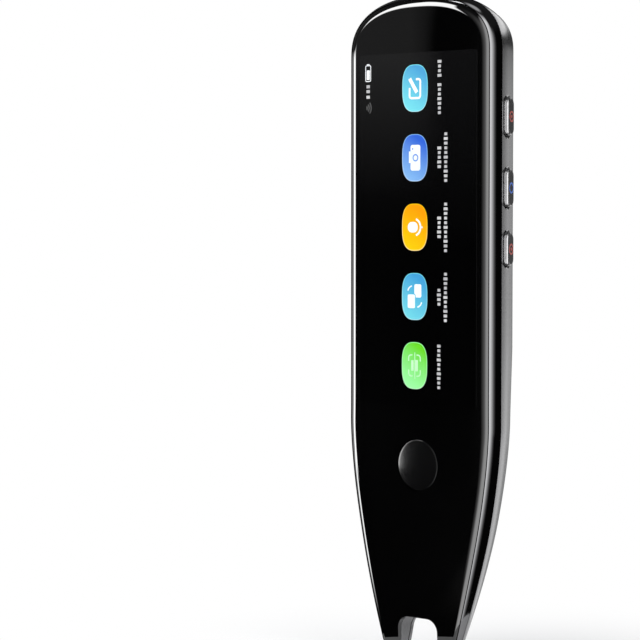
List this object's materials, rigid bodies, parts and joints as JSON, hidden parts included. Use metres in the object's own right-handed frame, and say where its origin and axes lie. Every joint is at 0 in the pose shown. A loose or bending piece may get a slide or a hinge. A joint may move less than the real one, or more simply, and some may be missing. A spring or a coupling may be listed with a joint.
{
  "type": "scanning pen",
  "caption": "Hand-held scanning pen with a long touch display, side buttons, a rear camera and speaker, and a forked tip with a press-to-scan hood.",
  "frame": {"origin": "middle of the flat strip of the back, 42 mm below the top of the head", "axes": "+Z along the pen to its head, tip down as it is held and pictured; +Y out of the back, so the display faces -Y; +X towards the side buttons. To lay it on a table turn it -90 degrees about X, which puts the flat back at Z 0."},
  "size_m": [0.043, 0.0133, 0.1528],
  "materials": {
    "gloss_black": "polished black",
    "screen": "lit display picture under glass",
    "bright_frame": "dark polished plating",
    "gunmetal": "fine satin metallic gunmetal",
    "button_metal": "satin gunmetal with a bright edge",
    "home_key": "satin black",
    "satin_black": "satin black moulding",
    "grey_plastic": "fine matt grey moulding",
    "smoked_pane": "smoked clear pane",
    "lens": "coated lens, blue-violet",
    "sheet_steel": "plain sheet steel",
    "circuit": "green circuit board",
    "ribbon": "amber flexible circuit",
    "foil": "laminated foil pouch",
    "lamp": "diffused lamp",
    "foam": "closed-cell foam"
  },
  "bodies": {
    "casing": {"cover_panel": "gloss_black", "bright_frame": "bright_frame", "rear_shell": "gunmetal", "home_board": "circuit", "home_switch": "sheet_steel", "record_switch": "sheet_steel", "voice_switch": "sheet_steel", "power_switch": "sheet_steel", "key_board": "circuit", "camera_trim": "gloss_black", "camera_lens": "lens", "camera_module": "satin_black", "speaker_gasket": "foam", "speaker": "satin_black", "display": "screen", "display_tray": "sheet_steel", "display_ribbon": "ribbon", "carrier_frame": "sheet_steel", "screw_1_right": "sheet_steel", "screw_1_left": "sheet_steel", "screw_2_right": "sheet_steel", "screw_2_left": "sheet_steel", "screw_3_right": "sheet_steel", "screw_3_left": "sheet_steel", "main_board": "circuit", "processor": "satin_black", "shield_can": "sheet_steel", "memory_chip": "satin_black", "battery": "foil", "battery_board": "circuit", "charging_socket": "sheet_steel", "socket_tongue": "satin_black", "microphone": "sheet_steel", "aerial": "ribbon", "scan_block": "satin_black", "scan_lens": "lens", "sensor_board": "circuit", "scan_lamp_left": "lamp", "scan_lamp_right": "lamp", "tip_switch": "sheet_steel", "scan_ribbon": "ribbon"},
    "home_button": {"home_button": "home_key"},
    "record_button": {"record_button": "button_metal"},
    "voice_button": {"voice_button": "button_metal"},
    "power_button": {"power_button": "button_metal"},
    "scan_hood": {"scan_hood": "grey_plastic", "scan_window": "smoked_pane"}
  },
  "joints": [
    {"name": "home_button_press", "type": "slide", "parent": "casing", "child": "home_button", "axis": [0, 1, 0], "range_m": [0, 0.0003], "stiffness_N_per_m": 1000},
    {"name": "record_button_press", "type": "slide", "parent": "casing", "child": "record_button", "axis": [-0.9659, -0.2588, 0], "range_m": [0, 0.0004], "stiffness_N_per_m": 750},
    {"name": "voice_button_press", "type": "slide", "parent": "casing", "child": "voice_button", "axis": [-0.9659, -0.2588, 0], "range_m": [0, 0.0004], "stiffness_N_per_m": 750},
    {"name": "power_button_press", "type": "slide", "parent": "casing", "child": "power_button", "axis": [-0.9659, -0.2588, 0], "range_m": [0, 0.0004], "stiffness_N_per_m": 750},
    {"name": "scan_hood_press", "type": "slide", "parent": "casing", "child": "scan_hood", "axis": [0, 0, 1], "range_m": [0, 0.0008], "stiffness_N_per_m": 500}
  ]
}
